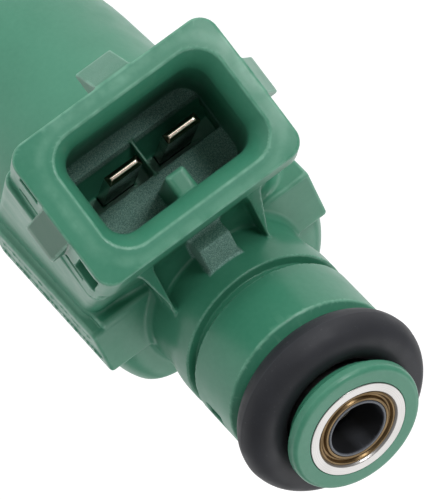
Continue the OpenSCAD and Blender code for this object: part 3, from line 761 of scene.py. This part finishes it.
def copper():
    """Enamelled wire wound in fine layers."""
    m = Nodes("copper_enamelled")
    height = m.put("SeparateXYZ", {0: m.place}).outputs[2]
    turns = m.math("SINE", m.math("MULTIPLY", height, 2 * math.pi / WIRE))
    # Painted shade and highlight: each turn is darker in the groove beside its neighbour and lighter on
    # its crown
    base = m.mix(m.ramp(turns, -1, 1), rgb(0.22, 0.09, 0.035), rgb(0.6, 0.32, 0.16))
    stain = m.math("MULTIPLY", m.ramp(m.noise(600, 3), 0.4, 0.7), 0.3)
    base = m.mix(stain, base, rgb(0.35, 0.15, 0.06))
    gloss = m.ramp(m.noise(900, 2), 0.3, 0.7, 0.25, 0.38)
    return m.finish(base, gloss, m.bump(turns, 0.00006), Metallic=0.8)


def blade():
    """Rolled copper strip, tarnished brown, with a painted highlight on the edges at its tip."""
    m = Nodes("blade_copper")
    streak = m.noise(1, 4, 0.6, m.stretched((700, 3800, 700)))
    base = m.mix(m.ramp(streak, 0.3, 0.7), rgb(0.035, 0.016, 0.009), rgb(0.08, 0.038, 0.02))
    tip = SOCKET_Z + FACE - BLADE_INSET
    # Painted highlight: near-white colour on the sharp edges at the tip
    top = m.box_mask(m.across(), (-2, -5, tip - 0.03), (2, 5, tip + 0.1), 0.06)
    tip_highlight = m.edge_tint(0.1, 0.6, m.ramp(top, 0, 1, 0.08, 1))
    tip_highlight = m.math("MULTIPLY", tip_highlight, m.ramp(m.noise(1300, 2), 0.25, 0.5, 0.6, 1))
    base = m.mix(tip_highlight, base, rgb(0.96, 0.82, 0.68))
    gloss = m.ramp(streak, 0.3, 0.7, 0.16, 0.26)
    return m.finish(base, gloss, m.bump(streak, 0.000008, 0.4), Metallic=1.0)


def plastic():
    """Matt black plastic, faintly mottled and pale on its edges."""
    m = Nodes("plastic_black")
    mottle = m.ramp(m.noise(500, 4), 0.3, 0.7)
    base = m.mix(mottle, rgb(0.013, 0.0137, 0.016), rgb(0.025, 0.0262, 0.029))
    base = m.mix(m.edge_tint(0.25, 0.8, 0.6), base, rgb(0.15, 0.16, 0.185))
    # The filter frame's top lip is coloured pale
    lip = m.box_mask(m.place, (-2.5, -2.5, CAGE_TOP - 0.07), (2.5, 2.5, CAGE_TOP + 0.1), 0.03)
    base = m.mix(m.math("MULTIPLY", lip, 0.9), base, rgb(0.105, 0.115, 0.135))
    normal = m.bump(m.noise(3000, 3), 0.00002, 0.5)
    return m.finish(base, m.ramp(m.noise(800, 3), 0.3, 0.7, 0.38, 0.52), normal)


def weave():
    """Fine woven mesh on a tube round the axis."""
    m = Nodes("filter_weave")
    parts = m.put("SeparateXYZ", {0: m.place}).outputs
    angle = m.math("ARCTAN2", parts[1], parts[0])
    warp = m.math("SINE", m.math("MULTIPLY", angle, THREADS_ROUND))
    weft = m.math("SINE", m.math("MULTIPLY", parts[2], 2 * math.pi / THREAD))
    thread = m.math("MAXIMUM", warp, weft)
    # Painted shade: the gaps between the threads are dark, the threads pale
    base = m.mix(m.ramp(thread, 0, 0.8), rgb(0.06, 0.055, 0.04), rgb(0.58, 0.55, 0.45))
    stain = m.math("MULTIPLY", m.ramp(m.noise(900, 3), 0.4, 0.7), 0.3)
    base = m.mix(stain, base, rgb(0.3, 0.25, 0.15))
    return m.finish(base, m.ramp(thread, 0, 1, 0.7, 0.5), m.bump(thread, 0.00004))


materials = {
    "nylon": nylon(),
    "rubber": rubber(),
    "steel": steel("steel_turned", rgb(0.44, 0.43, 0.42), rgb(0.52, 0.51, 0.50), 0.26),
    "magnet_steel": steel("steel_satin", rgb(0.38, 0.39, 0.40), rgb(0.52, 0.53, 0.54), 0.34),
    "brass": brass(),
    "copper": copper(),
    "blade": blade(),
    "dark_plastic": plastic(),
    "mesh": weave(),
}
slot_of = {part["node"]: part["material_slot"] for part in frame["record"]["subparts"]}
for node, slot in slot_of.items():
    mesh = frame["nodes"][node].data
    mesh.materials.clear()
    mesh.materials.append(materials[slot])


# ---------------------------------------------------------------- pieces
def stand_for(piece, node):
    """The piece takes a housing node's place, with that node's material."""
    piece.data.materials.clear()
    piece.data.materials.append(materials[slot_of[node]])
    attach(piece, "housing")
    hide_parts(node)


def turned_piece(name, node, corners, radii, steps=8, segments=192):
    """A turned or round moulded piece in a node's place, from its section's corners (radius, z)."""
    stand_for(lathe(name, rounded(corners, radii, steps), segments), node)


def box_corners(low, high):
    return [[x, y, z] for x in (low[0], high[0]) for y in (low[1], high[1]) for z in (low[2], high[2])]


def socket_box(corners, margin):
    """The box round these corners in the socket's frame, with a margin."""
    spread = corners @ socket_axes
    return spread.min(0) - margin, spread.max(0) + margin


# Columns are the socket's e, y and d directions in the world
socket_axes = np.array([[-math.sin(TILT), 0, math.cos(TILT)],
                        [0, 1, 0],
                        [math.cos(TILT), 0, math.sin(TILT)]]).T
CELL = 0.16
around_body = np.array(box_corners((-9.7, -9.8, SKIRT_BOTTOM - 0.6), (9.7, 10.5, NECK_TOP + 0.6))
                       + box_corners((5, -9.8, 45), (23, 10.6, 66)))
body = field_piece("body_moulding", overmould, socket_box(around_body, 0.5), CELL, 190000, socket_axes)
stand_for(body, "overmould")

low, high = heights("inlet_ring")
turned_piece("inlet_ring_moulding", "inlet_ring",
             [(SEAT_R + FIT, low), (4.5, low), (4.5, low + 0.6), (5.17, low + 0.85), (5.15, high),
              (SEAT_R + FIT, high)], [0.05, 0.1, 0.1, 0.2, 0.75, 0.08], 10)


SEAL_FLASH = 0.02


def seal(name, node):
    """O-ring with the faint flash of its mould's parting line, inside and outside."""
    z = sum(heights(node)) / 2
    outline = []
    for i in range(120):
        a = 2 * math.pi * i / 120
        r = RING_R + SEAL_FLASH * math.exp(-(math.sin(a) / 0.06) ** 2)
        outline.append((RING_OUT - RING_R - SEAL_FLASH + r * math.cos(a), z + r * math.sin(a)))
    stand_for(lathe(name, outline), node)


seal("upper_seal", "upper_o_ring")
seal("lower_seal", "lower_o_ring")

BORE_MOUTH_R = 3.2
BORE_R = 2.9
BORE_FLOOR = 61.5
TUBE_R = 2.0
low, high = heights("inlet_tube")
turned_piece("inlet_tube_turned", "inlet_tube",
             [(TUBE_R, low), (SEAT_R, low), (SEAT_R, high), (BORE_MOUTH_R, high), (BORE_R, high - 0.5),
              (BORE_R, BORE_FLOOR), (TUBE_R, BORE_FLOOR - 0.8)], [0.05, 0.1, 0.07, 0.1, 0.3, 0.1, 0.1])

low, high = heights("filter_ring")
ring_in, ring_out = 2.35, BORE_R - FIT
turned_piece("filter_ring_turned", "filter_ring",
             [(ring_in, low), (ring_out, low), (ring_out, high - 0.42), (3.1, high - 0.06),
              (3.02, high), (2.92, high), (2.78, high - 0.22), (2.66, high - 0.2), (2.54, high),
              (ring_in, high)],
             [0.03, 0.03, 0.05, 0.03, 0.03, 0.05, 0.05, 0.06, 0.06, 0.06])

CAGE_R = 2.33
CAGE_BORE_R = 2.13
CAGE_COLLAR = 3.2                   # height of the collar at its top


def cage(p):
    """The filter's frame: a collar with a flange, four ribs and a foot."""
    x, y, z = p[:, 0], p[:, 1], p[:, 2]
    rho = np.hypot(x, y)
    collar = cross(rho - CAGE_R, CAGE_BORE_R - rho, 0.05)
    collar = cross(collar, slab(z, CAGE_TOP - CAGE_COLLAR, CAGE_TOP), 0.07)
    flange = cross(cross(rho - 2.8, CAGE_BORE_R - rho), slab(z, CAGE_TOP - 4, CAGE_TOP - 3), 0.06)
    foot = cross(rho - CAGE_R, slab(z, CAGE_LOW, CAGE_LOW + 0.8), 0.1)
    ribs = np.minimum(np.abs(x - y), np.abs(x + y)) * math.sqrt(0.5) - 0.3
    around = cross(rho - CAGE_R, slab(z, CAGE_LOW, CAGE_TOP - CAGE_COLLAR))
    ribs = cross(cross(ribs, 1.75 - rho), around, 0.06)
    return union(union(collar, flange), union(foot, ribs, 0.1), 0.1)


around_cage = ((-3.1, -3.1, CAGE_LOW - 0.2), (3.1, 3.1, CAGE_TOP + 0.2))
cage_piece = field_piece("filter_cage_moulding", cage, around_cage, CELL * 0.45, 60000)
stand_for(cage_piece, "filter_cage")

TIP_HALF_T = 0.07                   # what the tip's chamfers leave of half its thickness
TIP_CORNER = 0.33
# Where the terminals bend: the middle of the strip, as x and z
bend = np.array([TERMINAL_BEND * math.cos(TILT) - BLADE_E * math.sin(TILT),
                 SOCKET_Z + TERMINAL_BEND * math.sin(TILT) + BLADE_E * math.cos(TILT)])


def terminal(middle):
    """Strip bent once: a foot along the injector's axis and a blade along the socket's."""
    def f(p):
        x, y, z = p[:, 0], p[:, 1] - middle, p[:, 2]
        e, d = socket_frame(x, z)
        blade = np.abs(e - BLADE_E)
        half = BLADE_T / 2
        tip = FACE - BLADE_INSET
        root = cross(blade - half, TERMINAL_BEND - d)
        foot = cross(np.abs(x - bend[0]) - half, z - bend[1])
        knee = np.hypot(x - bend[0], z - bend[1]) - half
        strip = union(union(root, foot, 0.3), knee)
        strip = cross(strip, cross(d - tip, TERMINAL_FOOT - z), 0.04)
        strip = cross(strip, (blade - TIP_HALF_T + d - tip) * math.sqrt(0.5), 0.08)
        strip = cross(strip, np.abs(y) - BLADE_W / 2, 0.05)
        return cross(strip, (np.abs(y) - BLADE_W / 2 + TIP_CORNER + d - tip) * math.sqrt(0.5), 0.06)
    return f


for name, node, middle in (("blade_left", "terminal_left", BLADE_PITCH / 2),
                           ("blade_right", "terminal_right", -BLADE_PITCH / 2)):
    around_blade = np.array(box_corners(*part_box(node))) / MM
    stand_for(field_piece(name, terminal(middle), socket_box(around_blade, 0.3), CELL * 0.5, 60000,
                          socket_axes), node)

low, high = heights("spacer_ring")
turned_piece("spacer_ring_moulding", "spacer_ring",
             [(SEAT_R + FIT, low), (6.55, low), (6.55, high), (SEAT_R + FIT, high)],
             [0.1, 0.15, 0.25, 0.1], 5, 160)

low, high = heights("nozzle_cap")
lip = high - 1
turned_piece("nozzle_cap_moulding", "nozzle_cap",
             [(2.6, low), (4.9, low), (4.9, lip), (CAP_R, lip + 0.1), (CAP_R, high),
              (SEAT_R + FIT, high), (SEAT_R + FIT, 1), (2.2, 1)],
             [0.12, 0.4, 0.15, 0.12, 0.15, 0.05, 0.05, 0.1], 5, 160)

# ---------------------------------------------------------------- stage, light and camera
scene = bpy.context.scene
scene.view_settings.view_transform = "Standard"
FLOOR = 3.0
FLOOR_Z = -0.0002
floor_mesh = bpy.data.meshes.new("floor")
floor_corners = [(x * FLOOR, y * FLOOR, FLOOR_Z) for x, y in ((-1, -1), (1, -1), (1, 1), (-1, 1))]
floor_mesh.from_pydata(floor_corners, [], [(0, 1, 2, 3)])
floor = bpy.data.objects.new("floor", floor_mesh)
scene.collection.objects.link(floor)
paper = Nodes("paper_white")
tone = paper.mix(paper.ramp(paper.noise(3, 2), 0.3, 0.7), rgb(0.93, 0.93, 0.93), rgb(0.95, 0.95, 0.95))
glow = {"Emission Color": rgb(1, 1, 1), "Emission Strength": 0.29}
floor_mesh.materials.append(paper.finish(tone, 0.9, **glow))

world = bpy.data.worlds.new("studio")
scene.world = world
world.use_nodes = True
background = world.node_tree.nodes["Background"]
background.inputs["Color"].default_value = rgb(1, 1, 1)
background.inputs["Strength"].default_value = 0.34

# The camera's axes and place, and the middle of what it sees, in metres
RIGHT = Vector((-0.3127, -0.7959, 0.5185))
UP = Vector((0.6012, -0.5884, -0.5407))
BACK = Vector((0.7354, 0.1427, 0.6625))
CAMERA = Vector((0.23807, 0.04462, 0.26833))
TARGET = Vector((0.01047, 0.00045, 0.06328))
camera_data = bpy.data.cameras.new("camera")
camera = bpy.data.objects.new("camera", camera_data)
scene.collection.objects.link(camera)
scene.camera = camera
camera_data.lens = 324
camera_data.sensor_width = 36
camera_data.clip_start = 0.02
camera_data.clip_end = 20
camera.matrix_world = Matrix.Translation(CAMERA) @ Matrix((RIGHT, UP, BACK)).transposed().to_4x4()

LAMP_DISTANCE = 0.5


def lamp(name, left, up, front, size, watts):
    """A soft square light, placed by its direction from the object as the camera sees it."""
    data = bpy.data.lights.new(name, "AREA")
    data.shape = "SQUARE"
    data.size = size
    data.energy = watts
    obj = bpy.data.objects.new(name, data)
    scene.collection.objects.link(obj)
    way = (UP * up - RIGHT * left + BACK * front).normalized()
    obj.location = TARGET + way * LAMP_DISTANCE
    obj.rotation_mode = "QUATERNION"
    obj.rotation_quaternion = (-way).to_track_quat("-Z", "Y")


# Each lamp's name, direction, size and power
LAMPS = (("key", -0.30, 0.47, 0.83, 0.13, 0.76),
         ("fill", 0.3, 0.8, 0.52, 0.35, 0.45),
         ("card", -0.686, -0.715, -0.124, 0.6, 1.55),
         ("top", 0.0, 0.95, 0.3, 0.3, 2.3),
         ("low", -0.4, -0.7, 0.6, 0.3, 0.2))
for values in LAMPS:
    lamp(*values)
